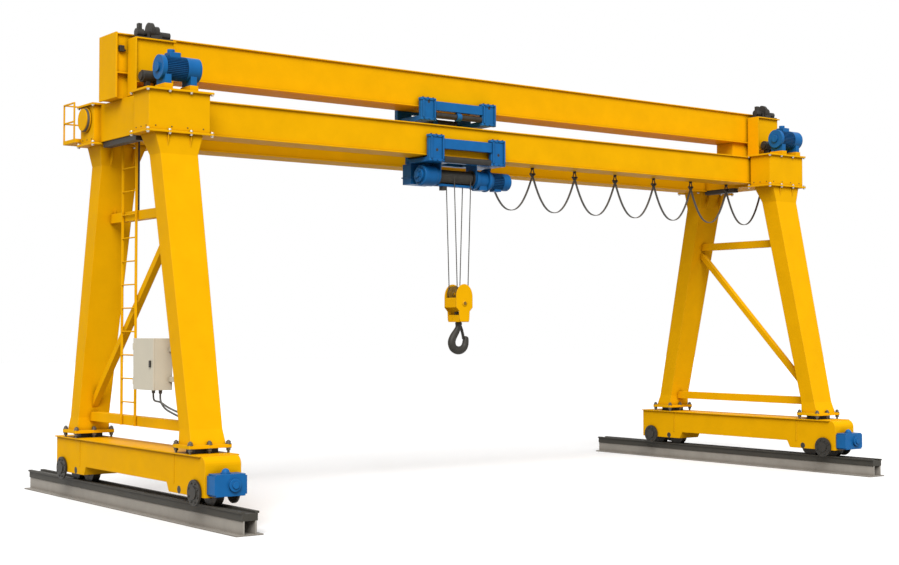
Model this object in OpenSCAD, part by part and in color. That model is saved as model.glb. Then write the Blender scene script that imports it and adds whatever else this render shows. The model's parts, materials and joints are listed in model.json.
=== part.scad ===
// Gantry crane: double-portal travelling crane on two short track beams.
// X runs along the span, Y along the track, Z up; the origin lies under the track, at its centre.

/* [Track] */
// Distance between the two track centre lines
span = 11000; // [10000:50:12000]
// Length of each track beam
track_len = 6200; // [5900:50:6800]
// Height of the track beam, cap included
track_h = 270; // [240:5:300]
// Width of the bottom flange
track_flange_w = 340; // [300:10:400]
// Thickness of the bottom flange
track_flange_t = 16; // [12:1:24]
// Width over the two webs
track_web_w = 170; // [150:5:190]
// Thickness of each web
track_web_t = 18; // [12:1:24]
// Height of the dark cap
cap_h = 105; // [90:5:120]
// Width of the cap below its lips
cap_w = 196; // [180:2:220]
// Width over the cap's lips
cap_lip_w = 232; // [224:2:260]
// Thickness of the cap's lips
cap_lip_t = 24; // [18:1:30]
// Width of the running groove
groove_w = 130; // [120:2:140]
// Depth of the running groove
groove_d = 24; // [18:1:30]

/* [Carriages] */
// Place of the crane's centre along the track
crane_y = -350; // [-400:10:-300]
// Half length of an end carriage
car_half = 2130; // [2080:10:2180]
// Width of an end carriage
car_w = 460; // [440:5:500]
// Height of the carriage's top
car_top = 840; // [810:5:870]
// Underside of the carriage between the wheel boxes
car_bottom = 480; // [460:5:500]
// Underside of the wheel boxes
box_bottom = 372; // [350:2:380]
// Distance of the outer wheels from the carriage's end
wheel_end = 220; // [205:5:240]
// Distance between the wheels of a pair
wheel_pitch = 420; // [400:5:440]
// Radius of the rounded near end
bonnet_r = 100; // [80:5:130]
// Rolling radius of the wheels
wheel_r = 170; // [160:1:175]
// Width of the wheel tread
wheel_w = 100; // [90:2:104]
// Radius of the hub discs
hub_r = 150; // [136:2:154]
// Thickness of the hub discs
hub_t = 26; // [18:1:34]
// Axle radius
axle_r = 45; // [35:1:55]

/* [Legs] */
// Distance of a leg's foot from the crane's centre
foot_y = 1620; // [1590:10:1650]
// Distance of a leg's top from the crane's centre
leg_top_y = 790; // [770:5:810]
// Leg width along the span at the foot
leg_wx0 = 420; // [400:5:440]
// Leg width along the span at the top
leg_wx1 = 500; // [480:5:520]
// Leg width along the track at the foot
leg_wy0 = 260; // [240:5:280]
// Leg width along the track at the top
leg_wy1 = 300; // [280:5:320]
// Thickness of the base flange
foot_t = 42; // [36:1:48]
// Height of the recessed block under the base flange
block_h = 60; // [50:2:70]

/* [Upper frame] */
// Underside of the head beams
head_z0 = 4620; // [4560:10:4680]
// Height of the head beams
head_h = 530; // [510:5:550]
// Half length of the head beams
head_half = 1000; // [970:10:1030]
// Width of the head boxes
head_w = 810; // [780:10:840]
// Length of each head box along the track
head_box = 410; // [390:5:430]
// Width of the beam between the head boxes
cross_w = 640; // [600:10:680]
// Thickness of the head plates
head_t = 26; // [22:1:28]
// How far the head plates stand out
head_lip = 38; // [30:1:44]
// Centre distance of the front girder from the crane's centre
front_y = 370; // [350:5:390]
// Centre distance of the rear girder from the crane's centre
rear_y = 680; // [660:5:700]
// Web width of the lower girders
girder_w = 360; // [340:5:380]
// Rise of the front girder's underside above the head beams'
girder_rise = 66; // [56:2:76]
// Rise of the rear girder's underside above the head beams'
rear_rise = 12; // [6:2:20]
// Drop of the lower girders' tops below the head beams' tops
girder_drop = 24; // [24:2:40]
// How far the girder flanges stand out
flange_out = 30; // [24:1:36]
// Thickness of the girder flanges
flange_t = 16; // [12:1:20]
// Centre of the upper girder from the crane's centre
upper_y = 110; // [90:5:130]
// Web width of the upper girder
upper_w = 440; // [420:5:460]
// Gap between the head beams and the upper girder
upper_gap = 280; // [260:5:300]
// Height of the upper girder
upper_h = 500; // [480:5:520]
// Left end of the upper girder
upper_x0 = -5940; // [-5990:10:-5900]
// Right end of the upper girder
upper_x1 = 6110; // [6060:10:6180]

/* [Hoist] */
// Place of the hoist trolley along the front girder
trolley_x = -860; // [-910:10:-810]
// Place of the upper trolley along the upper girder
upper_trolley_x = -680; // [-730:10:-630]
// Drop of the drum's axis below the front girder
drum_drop = 260; // [256:2:270]
// Distance of a rope fall from the drum's axis
fall_y = 95; // [90:1:100]
// Radius of the rope
rope_r = 8; // [6:0.5:9]
// Pitch radius of the sheaves
sheave_r = 98; // [92:1:102]
// Height between the drum's axis and the sheaves' axis
fall_len = 1656; // [1626:2:1686]
// Half distance of the rope falls along the drum
fall_x = 148; // [140:1:156]
// Half width of the hook block
block_r = 138; // [134:1:150]
// Mean radius of the hook's bowl
bowl_r = 116; // [110:1:120]
// Thickness radius of the hook
hook_t = 38; // [34:1:42]

/* [Clearances] */
// Running gap between a wheel and what it runs on
roll_gap = 0.3; // [0.2:0.05:0.5]
// Radial gap of a turning shaft in its bore
run_gap = 0.08; // [0.04:0.01:0.1]
// Side gap between pieces that move past each other
side_gap = 8; // [6:1:12]

/* [Hidden] */
yc = crane_y;
hx = span / 2;
head_z1 = head_z0 + head_h;
girder_z0 = head_z0 + girder_rise;
rear_z0 = head_z0 + rear_rise;
girder_z1 = head_z1 - girder_drop;
upper_z0 = head_z1 + upper_gap;
upper_z1 = upper_z0 + upper_h;
drum_z = girder_z0 - drum_drop;
block_z = drum_z - fall_len;
groove_z = track_h - groove_d;
axle_z = groove_z + roll_gap + wheel_r;
foot_z = car_top + block_h;
leg_z0 = foot_z + foot_t;
wheel_out = car_half - wheel_end;
wheel_in = wheel_out - wheel_pitch;
box_in = wheel_in - wheel_r - 90;
trolley_y = yc - front_y;
girder_x = hx - head_w / 2;
drum_x0 = trolley_x - 340;
drum_x1 = trolley_x + 270;
hook_x = trolley_x + 50;
drum_r = fall_y - rope_r - 0.5;
flange_y0 = girder_w / 2 + flange_out;
roller_r = 55;
yoke_top = girder_z0 - 24;
yoke_bot = girder_z0 - 84;
upper_flange_y = upper_w / 2 + flange_out;
fest_n = 6;
fest_y = trolley_y + 150;
fest_x0 = trolley_x + 710;
fest_x1 = hx + cross_w / 2 - 70;
fest_dx = (fest_x1 - fest_x0) / (fest_n + 1);
fest_sag = 540;
fest_z = girder_z0 - 100;
fest_w = 34;
fest_t = 12;
yellow = [0.96, 0.70, 0.05];
blue = [0.13, 0.38, 0.66];
dark = [0.16, 0.15, 0.14];
grey = [0.55, 0.52, 0.48];

// A box from one corner to the other.
module box(a, b) { translate(a) cube(b - a); }
// A round bar along X, Y or Z.
module bar_x(r, x0, x1, y, z) { translate([x0, y, z]) rotate([0, 90, 0]) cylinder(r = r, h = x1 - x0, $fn = 64); }
module bar_y(r, y0, y1, x, z) { translate([x, y0, z]) rotate([-90, 0, 0]) cylinder(r = r, h = y1 - y0, $fn = 64); }
module bar_z(r, z0, z1, x, y) { translate([x, y, z0]) cylinder(r = r, h = z1 - z0, $fn = 64); }
// A flat-sided column between two level rectangles: each is [x, y, z, width, depth].
module column(a, b) {
  polyhedron(points = [
    [a[0] - a[3] / 2, a[1] - a[4] / 2, a[2]], [a[0] + a[3] / 2, a[1] - a[4] / 2, a[2]],
    [a[0] + a[3] / 2, a[1] + a[4] / 2, a[2]], [a[0] - a[3] / 2, a[1] + a[4] / 2, a[2]],
    [b[0] - b[3] / 2, b[1] - b[4] / 2, b[2]], [b[0] + b[3] / 2, b[1] - b[4] / 2, b[2]],
    [b[0] + b[3] / 2, b[1] + b[4] / 2, b[2]], [b[0] - b[3] / 2, b[1] + b[4] / 2, b[2]]],
    faces = [[0, 1, 2, 3], [4, 7, 6, 5], [0, 4, 5, 1], [1, 5, 6, 2], [2, 6, 7, 3], [3, 7, 4, 0]]);
}

// Track

module rail_beams() color(grey) for (sx = [-1, 1]) translate([sx * hx, 0, 0]) {
  box([-track_flange_w / 2, -track_len / 2, 0], [track_flange_w / 2, track_len / 2, track_flange_t]);
  for (s = [-1, 1]) translate([s * (track_web_w - track_web_t) / 2, 0, 0])
    box([-track_web_t / 2, -track_len / 2, track_flange_t - 1],
        [track_web_t / 2, track_len / 2, track_h - cap_h]);
}

module rail_caps() color(dark) for (sx = [-1, 1]) translate([sx * hx, 0, 0]) difference() {
  union() {
    box([-cap_w / 2, -track_len / 2, track_h - cap_h], [cap_w / 2, track_len / 2, track_h]);
    box([-cap_lip_w / 2, -track_len / 2, track_h - cap_lip_t], [cap_lip_w / 2, track_len / 2, track_h]);
  }
  box([-groove_w / 2, -track_len, groove_z], [groove_w / 2, track_len, track_h + 10]);
}

// Carriages

module carriage(sx) translate([sx * hx, yc, 0]) difference() {
  union() {
    rotate([90, 0, 90]) linear_extrude(car_w, center = true) polygon(concat(
      [[car_half, box_bottom], [car_half, car_top - 8]],
      [for (a = [0 : 15 : 90]) [-car_half + bonnet_r - bonnet_r * sin(a),
        car_top - 8 - bonnet_r + bonnet_r * cos(a)]],
      [[-car_half, box_bottom], [-box_in, box_bottom], [-box_in + 60, car_bottom],
       [box_in - 60, car_bottom], [box_in, box_bottom]]));
    box([-car_w / 2 - 30, -car_half + bonnet_r, car_top - 16], [car_w / 2 + 30, car_half, car_top]);
  }
  for (s = [-1, 1]) {
    box([-wheel_w / 2 - 20, s > 0 ? wheel_in - wheel_r - 30 : -wheel_out - wheel_r - 30, box_bottom - 1],
        [wheel_w / 2 + 20, s > 0 ? wheel_out + wheel_r + 30 : -wheel_in + wheel_r + 30,
         axle_z + wheel_r + 30]);
    for (w = [wheel_in, wheel_out]) bar_x(axle_r + run_gap, -car_w, car_w, s * w, axle_z);
  }
}
module carriage_left() color(yellow) carriage(-1);
module carriage_right() color(yellow) carriage(1);

gear_w = 410;
gear_z0 = box_bottom + 22;
gear_h = 250;
gear_d = 185;
module travel_gearboxes() color(blue) for (sx = [-1, 1]) translate([sx * hx, yc - car_half, gear_z0]) {
  box([-gear_w / 2, -gear_d, 20], [gear_w / 2, 0, gear_h - 20]);
  box([-gear_w / 2 + 20, -gear_d, 0], [gear_w / 2 - 20, 0, gear_h]);
  bar_y(74, -gear_d - 34, -gear_d + 10, 40, gear_h / 2);
  bar_y(40, -gear_d - 52, -gear_d - 30, 40, gear_h / 2);
  bar_z(58, gear_h - 10, gear_h + 14, -20, -gear_d / 2);
  translate([-20, -gear_d / 2, gear_h + 14]) difference() {
    sphere(r = 46, $fn = 48);
    translate([-100, -100, -200]) cube([200, 200, 200]);
  }
}

// The outer wheels carry a large disc outside the carriage; the inner wheels' axles end flush.
module wheel(sx, y) translate([sx * hx, yc + y, axle_z]) {
  bar_x(wheel_r, -wheel_w / 2, wheel_w / 2, 0, 0);
  bar_x(80, -wheel_w / 2 - 12, wheel_w / 2 + 12, 0, 0);
  if (abs(y) > wheel_in + 1) {
    x = car_w / 2 + side_gap;
    bar_x(axle_r, -x, x, 0, 0);
    for (m = [0, 1]) mirror([m, 0, 0]) {
      bar_x(hub_r, x, x + hub_t, 0, 0);
      bar_x(hub_r * 0.5, x, x + hub_t + 14, 0, 0);
    }
  } else bar_x(axle_r, -car_w / 2, car_w / 2, 0, 0);
}
module wheel_left_1() color(dark) wheel(-1, -wheel_out);
module wheel_left_2() color(dark) wheel(-1, -wheel_in);
module wheel_left_3() color(dark) wheel(-1, wheel_in);
module wheel_left_4() color(dark) wheel(-1, wheel_out);
module wheel_right_1() color(dark) wheel(1, -wheel_out);
module wheel_right_2() color(dark) wheel(1, -wheel_in);
module wheel_right_3() color(dark) wheel(1, wheel_in);
module wheel_right_4() color(dark) wheel(1, wheel_out);

// Legs and bracing

function leg_f(z) = (z - leg_z0) / (head_z0 - leg_z0);
function leg_y(z) = foot_y + (leg_top_y - foot_y) * leg_f(z);
function leg_wx(z) = leg_wx0 + (leg_wx1 - leg_wx0) * leg_f(z);
function leg_wy(z) = leg_wy0 + (leg_wy1 - leg_wy0) * leg_f(z);

module leg_pedestals() color(dark) for (sx = [-1, 1], sy = [-1, 1])
  translate([sx * hx, yc + sy * foot_y, 0]) box([-150, -110, car_top], [150, 110, foot_z]);

module leg(sx, sy) {
  x = sx * hx;
  zk = leg_z0 + 170;
  zt = head_z0 - 250;
  translate([x, yc + sy * foot_y, 0]) box([-275, -205, foot_z], [275, 205, leg_z0]);
  column([x, yc + sy * foot_y, leg_z0 - 2, leg_wx0, leg_wy0],
         [x, yc + sy * leg_top_y, head_z0, leg_wx1, leg_wy1]);
  column([x, yc + sy * foot_y, leg_z0 - 2, leg_wx0 + 30, leg_wy0 + 50],
         [x, yc + sy * leg_y(zk), zk, leg_wx(zk), leg_wy(zk)]);
  column([x, yc + sy * leg_y(zt), zt, leg_wx(zt), leg_wy(zt)],
         [x, yc + sy * leg_top_y, head_z0, leg_wx1 + 130, leg_wy1 + 100]);
  for (dx = [-150, 150], s = [-1, 1]) translate([x + dx, yc + sy * leg_top_y + s * leg_wy1 / 2, head_z0])
    rotate([90, 0, 90]) linear_extrude(14, center = true)
      polygon([[0, 0], [s * 70, 0], [s * 70, -70], [s * 52, -170], [0, -260]]);
}
module leg_left_near() color(yellow) leg(-1, -1);
module leg_left_far() color(yellow) leg(-1, 1);
module leg_right_near() color(yellow) leg(1, -1);
module leg_right_far() color(yellow) leg(1, 1);

// Bracing of one portal, cut to the faces of its two legs.
module between_legs(sx) difference() {
  children();
  leg(sx, -1);
  leg(sx, 1);
}
module tie(sx, z0, z1, w) between_legs(sx) translate([sx * hx, yc, 0])
  box([-w / 2, -leg_y(z1), z0], [w / 2, leg_y(z1), z1]);
tie_z = leg_z0 + 120;
tie_h = 120;
upper_tie_z = head_z0 - 980;
module lower_ties() color(yellow) for (sx = [-1, 1]) tie(sx, tie_z, tie_z + tie_h, 110);
module upper_ties() color(yellow) for (sx = [-1, 1]) difference() {
  tie(sx, upper_tie_z, upper_tie_z + 120, 100);
  translate([sx * hx, yc, 0]) box([-38, -leg_y(0), upper_tie_z + 12], [51, leg_y(0), upper_tie_z + 108]);
}

// One diagonal in each portal, from one leg's upper part to the other leg's lower part.
module diagonal(sx, s) {
  za = tie_z + tie_h - 30;
  zb = upper_tie_z + 40;
  h = 62;
  between_legs(sx) translate([sx * hx, yc, 0]) rotate([90, 0, 90]) linear_extrude(80, center = true)
    polygon([[s * leg_y(za), za - h], [s * leg_y(za), za + h], [-s * leg_y(zb), zb + h], [-s * leg_y(zb), zb - h]]);
}
module diagonals() color(yellow) { diagonal(-1, 1); diagonal(1, -1); }

// Upper frame

module head_beam(sx) translate([sx * hx, yc, 0]) {
  for (s = [-1, 1]) translate([0, s * (head_half - head_box / 2), 0]) {
    box([-head_w / 2, -head_box / 2, head_z0], [head_w / 2, head_box / 2, head_z1]);
    for (z = [head_z0, head_z1 - head_t])
      box([-head_w / 2 - head_lip, -head_box / 2 - head_lip, z],
          [head_w / 2 + head_lip, head_box / 2 + head_lip, z + head_t]);
  }
  box([-cross_w / 2, -head_half + 10, head_z0 + 30], [cross_w / 2, head_half - 10, head_z1 - 24]);
}
module head_beam_left() color(yellow) head_beam(-1);
module head_beam_right() color(yellow) head_beam(1);

module lower_girder(y, z0) {
  x1 = hx - cross_w / 2;
  difference() {
    translate([0, yc + y, 0]) {
      box([-x1, -girder_w / 2, z0], [x1, girder_w / 2, girder_z1]);
      for (z = [z0, girder_z1 - flange_t])
        box([-x1, -girder_w / 2 - flange_out, z], [x1, girder_w / 2 + flange_out, z + flange_t]);
    }
    for (sx = [-1, 1]) head_beam(sx);
  }
}
module front_girder() color(yellow) lower_girder(-front_y, girder_z0);
module rear_girder() color(yellow) lower_girder(rear_y, rear_z0);

module upper_girder() color(yellow) difference() {
  translate([0, yc + upper_y, 0]) {
    box([upper_x0 + 20, -upper_w / 2, upper_z0], [upper_x1 - 20, upper_w / 2, upper_z1]);
    for (z = [upper_z0, upper_z1 - flange_t])
      box([upper_x0 + 20, -upper_w / 2 - flange_out, z],
          [upper_x1 - 20, upper_w / 2 + flange_out, z + flange_t]);
    for (x = [upper_x0, upper_x1 - 22])
      box([x, -upper_w / 2 - flange_out, head_z1 - 24], [x + 22, upper_w / 2 + flange_out, upper_z1 + 10]);
    for (sx = [-1, 1])
      box([sx > 0 ? hx - 260 : upper_x0 + 20, -upper_w / 2 + 40, head_z1 - 24],
          [sx > 0 ? upper_x1 - 20 : -hx + 260, upper_w / 2 - 40, upper_z0 + 5]);
  }
  for (sx = [-1, 1]) head_beam(sx);
}

// End drives: the same set stands on both head beams

bracket_out = 320;
motor_out = 160;
module at_drives(out) for (x = [-hx, hx + out]) translate([x, yc, 0]) children();
bracket_y = upper_y - upper_w / 2 - flange_out;
bracket_z0 = head_z1 + 150;
bracket_z1 = upper_z1 - 70;

module drive_brackets() color(yellow) {
  at_drives(bracket_out) {
    box([-250, bracket_y - 200, bracket_z0], [240, bracket_y, bracket_z1]);
    box([-285, bracket_y - 235, bracket_z1 - 18], [260, bracket_y, bracket_z1]);
    box([-285, bracket_y - 235, head_z1], [-267, bracket_y, bracket_z1]);
    box([-270, bracket_y - 235, bracket_z0], [150, bracket_y, bracket_z0 + 14]);
  }
  at_drives(motor_out) for (x = [-165, 175])
    box([x, head_motor_y - 130, head_z1], [x + 110, head_motor_y + 130, head_z1 + pad_h]);
}
module drive_brakes() color(dark) at_drives(bracket_out) translate([0, bracket_y - 120, bracket_z1]) {
  box([-250, -80, 0], [230, 80, 22]);
  bar_x(52, -235, -140, 0, 74);
  bar_x(34, -150, 30, 0, 74);
  bar_x(96, -70, -20, 0, 118);
  bar_x(70, -20, 60, 0, 104);
  bar_x(46, 90, 215, 0, 68);
  for (x = [-105, 60]) box([x, -60, 20], [x + 34, 60, 90]);
  box([-210, -30, 100], [-165, 30, 190]);
  box([-60, -70, 20], [60, 70, 60]);
}
cyl_y = bracket_y - 320;
cyl_z = head_z1 + 215;
module drive_cylinders() color(dark) at_drives(bracket_out) {
  bar_x(74, -245, 10, cyl_y, cyl_z);
  bar_x(50, -268, -200, cyl_y, cyl_z);
  for (x = [-200, -70]) box([x, cyl_y - 40, head_z1 - 24], [x + 50, cyl_y + 40, cyl_z]);
}
head_motor_y = -head_half + 205;
pad_h = 80;
motor_z = 285;
module drive_motors() color(blue) at_drives(motor_out) translate([0, head_motor_y, head_z1]) {
  bar_x(132, -160, 300, 0, motor_z);
  bar_x(150, -190, -130, 0, motor_z);
  bar_x(148, 150, 330, 0, motor_z);
  bar_x(60, -215, -180, 0, motor_z);
  box([-70, -75, motor_z + 115], [75, 75, motor_z + 185]);
  bar_z(46, motor_z + 170, motor_z + 225, -20, 0);
  for (x = [-150, 190]) box([x, -120, pad_h], [x + 80, 120, motor_z - 95]);
}

// Access and electrics

ladder_x = -75;
ladder_y0 = 30;
ladder_w = 400;
rung_pitch = 295;
module ladder() color(yellow) translate([-hx + ladder_x, yc + ladder_y0, 0]) {
  for (y = [0, ladder_w]) box([-20, y - 12, tie_z], [20, y + 12, head_z0 + 30]);
  for (i = [1 : floor((head_z0 - tie_z - 60) / rung_pitch)])
    bar_y(11, 0, ladder_w, 0, tie_z + i * rung_pitch);
}

cab_w = 550;
cab_h = 620;
cab_d = 250;
cab_wall = 20;
cab_x0 = -hx - 260;
cab_y0 = yc - 860;
cab_z0 = 1540;
door_t = 22;
door_gap = 0.5;
hinge_r = 9;
module cabinet() color([0.78, 0.75, 0.67]) difference() {
  union() {
    box([cab_x0 + door_t + door_gap, cab_y0, cab_z0], [cab_x0 + cab_d, cab_y0 + cab_w, cab_z0 + cab_h]);
    for (z = [cab_z0 + 100, cab_z0 + cab_h - 160])
      box([-hx - 60, cab_y0 - 400, z], [-hx + 20, cab_y0 + 1, z + 60]);
  }
  box([cab_x0, cab_y0 + cab_wall, cab_z0 + cab_wall],
      [cab_x0 + cab_d - cab_wall, cab_y0 + cab_w - cab_wall, cab_z0 + cab_h - cab_wall]);
  leg(-1, -1);
  column([-hx, yc - foot_y - 500, leg_z0, leg_wx0, leg_wy0 + 1000],
         [-hx, yc - leg_top_y - 500, head_z0, leg_wx1, leg_wy1 + 1000]);
}
// Two hoses leave the cabinet's bottom and bend round into the leg.
module cabinet_hoses() color(dark) difference() {
  for (y = [cab_y0 + 110, cab_y0 + 300]) translate([cab_x0 + 150, y, 0]) {
    r = 60 + (y - cab_y0) * 0.5;
    z = cab_z0 - 60 - r * 0.4;
    bar_z(17, z, cab_z0, 0, 0);
    translate([0, -r, z]) rotate([0, 90, 0]) rotate([0, 0, 0]) rotate_extrude(angle = 90, $fn = 64)
      translate([r, 0]) circle(r = 17, $fn = 24);
    bar_y(17, -900, -r, 0, z - r);
  }
  leg(-1, -1);
  column([-hx, yc - foot_y - 500, leg_z0, leg_wx0, leg_wy0 + 1000],
         [-hx, yc - leg_top_y - 500, head_z0, leg_wx1, leg_wy1 + 1000]);
}
module cabinet_door() color([0.80, 0.77, 0.69]) {
  box([cab_x0, cab_y0, cab_z0], [cab_x0 + door_t, cab_y0 + cab_w, cab_z0 + cab_h]);
  for (z = [cab_z0 + 60, cab_z0 + cab_h - 140]) bar_z(hinge_r, z, z + 80, cab_x0, cab_y0 + cab_w);
  box([cab_x0 - 14, cab_y0 + 60, cab_z0 + 280], [cab_x0, cab_y0 + 88, cab_z0 + 350]);
}

plat_d = 400;
plat_x0 = -480;
plat_x1 = 80;
module platform() color(yellow) translate([-hx, yc + head_half, 0]) {
  box([plat_x0, 0, head_z0 + 60], [plat_x1, plat_d, head_z0 + 110]);
  for (x = [plat_x0 + 10, plat_x1 - 10], y = [60, plat_d - 10])
    box([x - 9, y - 9, head_z0 + 100], [x + 9, y + 9, head_z1 + 60]);
  for (z = [head_z0 + 330, head_z1 + 42]) {
    box([plat_x0 + 1, plat_d - 19, z], [plat_x1 - 1, plat_d - 1, z + 18]);
    for (x = [plat_x0 + 1, plat_x1 - 19]) box([x, 51, z], [x + 18, plat_d - 1, z + 18]);
  }
}
reel_y = head_half - 190;
reel_z = head_z0 + 330;
module cable_reel() color(yellow) translate([-hx - head_w / 2, yc + reel_y, reel_z]) {
  for (x = [-64, -24]) bar_x(x < -40 ? 140 : 160, x, x + 14, 0, 0);
  bar_x(110, -64, 0, 0, 0);
}
module reel_cable() color(dark) translate([-hx - head_w / 2, yc + reel_y, reel_z]) difference() {
  bar_x(148, -50, -24, 0, 0);
  bar_x(110, -60, 0, 0, 0);
}
module cable_trays() color(dark) {
  translate([-hx, yc, 0]) box([-300, -420, head_z0 - 40], [-190, 530, head_z0 + 30]);
  translate([hx, yc, 0]) box([-300, -120, head_z0 - 40], [-190, 530, head_z0 + 30]);
  translate([hx, yc + rear_y, girder_z1]) {
    box([-1250, -150, 0], [-500, -60, 34]);
    for (x = [-1230, -960, -690]) box([x, -140, 30], [x + 130, -70, 78]);
  }
  translate([upper_x0 + 45, yc + upper_y - upper_w / 2, upper_z0 + 270]) {
    box([0, -46, 0], [60, 0, 74]);
    bar_x(11, 59, 85, -23, 20);
  }
}

// Festoon under the front girder

function fest_pt(x0, x1, t) = [x0 + (x1 - x0) * t, fest_z - 14 - fest_sag * (1 - pow(abs(2 * t - 1), 2.2))];
fest_xs = [for (i = [0 : fest_n + 1]) fest_x0 + i * fest_dx];
fest_line = concat([for (i = [0 : fest_n], k = [0 : 15]) fest_pt(fest_xs[i], fest_xs[i + 1], k / 16)],
  [[fest_x1, fest_z - 14]]);
module festoon_carriers() color(dark) {
  for (i = [1 : fest_n]) translate([fest_xs[i], fest_y, 0]) {
    box([-38, -fest_w / 2 - 5, fest_z - 8], [38, fest_w / 2 + 5, fest_z + 26]);
    box([-9, -18, fest_z + 20], [9, 18, girder_z0]);
    for (s = [-1, 1]) bar_y(16, s > 0 ? 6 : -22, s > 0 ? 22 : -6, 0, girder_z0 - 17);
  }
  translate([fest_x1, fest_y, 0]) box([-40, -fest_w / 2 - 5, fest_z - 8], [40, fest_w / 2 + 5, head_z0 + 30]);
}
module festoon_cable() color([0.3, 0.3, 0.3]) translate([0, fest_y + fest_w / 2, 0]) rotate([90, 0, 0])
  linear_extrude(fest_w) polygon(concat(
    [for (p = fest_line) [p[0], p[1] + fest_t / 2]],
    [for (i = [len(fest_line) - 1 : -1 : 0]) [fest_line[i][0], fest_line[i][1] - fest_t / 2]]));

// Hoist trolley

post_in = 420;
post_out = 670;
post_mid = (post_in + post_out) / 2;
post_r = 26;
frame_t = 70;
frame_gap = side_gap + 6;
cap_h2 = 34;
hang_x0 = drum_x0 - trolley_x - 22;
hang_x1 = drum_x1 - trolley_x + 2;
bar_r = 42;

// An upright with rounded outer edges, g thicker than the plain post.
module post(z0, z1, g = 0) {
  w = (post_out - post_in) / 2 + g;
  d = frame_t / 2 + g;
  box([-w + post_r, -d, z0], [w - post_r, frame_t / 2, z1]);
  box([-w, -d + post_r, z0], [w, frame_t / 2, z1]);
  for (t = [-1, 1]) bar_z(post_r, z0, z1, t * (w - post_r), -d + post_r);
}
// One side of a trolley's portal: two capped posts and the beam between them. s = -1 is the near side.
module portal_side(s, y0, z0, z1, beam_z0, beam_z1) mirror([0, s > 0 ? 1 : 0, 0]) {
  for (t = [-1, 1]) translate([t * post_mid, -y0 - frame_t / 2, 0]) {
    post(z0, z1);
    for (z = [z0, z1 - cap_h2]) post(z, z + cap_h2, 9);
  }
  box([-post_mid, -y0 - frame_t, beam_z0], [post_mid, -y0, beam_z1]);
}
// A pair of flanged rollers beside a girder's webs; their axles run in a trolley's posts.
module rollers(x, y, z, half) for (s = [-1, 1]) translate([x, y, z]) mirror([0, s > 0 ? 1 : 0, 0]) {
  bar_y(roller_r, -half - flange_out, -half - 5, 0, 0);
  bar_y(22, -half - flange_out - frame_gap - frame_t, -half - 10, 0, 0);
}
module roller_bores(y, z) for (t = [-1, 1]) bar_y(22 + run_gap, -y - 400, y + 400, t * post_mid, z);

module trolley_frame() color(blue) translate([trolley_x, trolley_y, 0]) {
  y0 = flange_y0 + frame_gap;
  difference() {
    union() {
      for (s = [-1, 1])
        portal_side(s, y0, yoke_bot, girder_z0 + 285, girder_z0 + 100, girder_z0 + 240);
      box([-post_out, -y0, yoke_bot], [post_out, y0, yoke_top]);
      for (x = [hang_x0, hang_x1]) {
        box([x, -120, drum_z], [x + 20, 120, yoke_bot + 2]);
        bar_x(120, x, x + 20, 0, drum_z);
      }
      box([660, fest_y - trolley_y - 24, fest_z - 8], [740, fest_y - trolley_y + 24, yoke_top]);
    }
    box([-240, -140, yoke_bot - 1], [210, 140, yoke_top + 1]);
    roller_bores(y0, trolley_roller_z);
    for (s = [-1, 1])
      bar_x(bar_r + roll_gap, -post_in + 9, post_in - 9, s * (y0 + frame_t / 2), yoke_bot + bar_r);
    bar_x(30 + run_gap, hang_x0 - 1, hang_x1 + 21, 0, drum_z);
  }
}
module trolley_bars() color(dark) translate([trolley_x, trolley_y, 0]) for (s = [-1, 1])
  bar_x(bar_r, -post_in + 9, post_in - 9, s * (flange_y0 + frame_gap + frame_t / 2), yoke_bot + bar_r);
module hoist_gearbox() color(blue) translate([trolley_x, trolley_y, drum_z]) {
  bar_x(134, hang_x0 - 50, hang_x0, 0, 0);
  bar_x(116, hang_x0 - 250, hang_x0 - 40, 0, 0);
  bar_x(98, hang_x0 - 300, hang_x0 - 240, 0, 0);
  bar_x(40, hang_x0 - 325, hang_x0 - 290, 0, 0);
  bar_x(146, hang_x1 + 20, hang_x1 + 70, 0, -10);
  bar_x(126, hang_x1 + 60, hang_x1 + 250, 0, -10);
  bar_x(142, hang_x1 + 240, hang_x1 + 300, 0, -10);
  box([hang_x1 + 90, -90, -160], [hang_x1 + 230, 90, -60]);
}
motor_x = hang_x1 + 300;
module hoist_motor() color(blue) translate([trolley_x, trolley_y, drum_z]) {
  bar_x(122, motor_x, motor_x + 40, 0, -15);
  bar_x(106, motor_x + 20, motor_x + 290, 0, -15);
  bar_x(118, motor_x + 230, motor_x + 360, 0, -15);
  box([motor_x + 90, -60, -160], [motor_x + 210, 60, -95]);
}
module control_box() color(blue) translate([trolley_x, trolley_y, 0]) {
  box([-640, 200, drum_z - 110], [-260, 400, yoke_bot]);
  box([-655, 188, drum_z - 20], [-245, 412, drum_z - 4]);
}

drum_groove = rope_r * 2 + 2;
module rope_drum() color(dark) translate([0, trolley_y, drum_z]) difference() {
  union() {
    bar_x(drum_r, drum_x0, drum_x1, 0, 0);
    for (x = [drum_x0, drum_x1 - 16]) bar_x(118, x, x + 16, 0, 0);
    bar_x(30, drum_x0 - 22, drum_x1 + 22, 0, 0);
  }
  for (i = [0 : floor((drum_x1 - drum_x0 - 60) / drum_groove)])
    translate([drum_x0 + 30 + i * drum_groove, 0, 0]) rotate([0, 90, 0]) rotate_extrude($fn = 64)
      translate([drum_r + 2, 0]) circle(r = rope_r - 1.5, $fn = 16);
}

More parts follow.
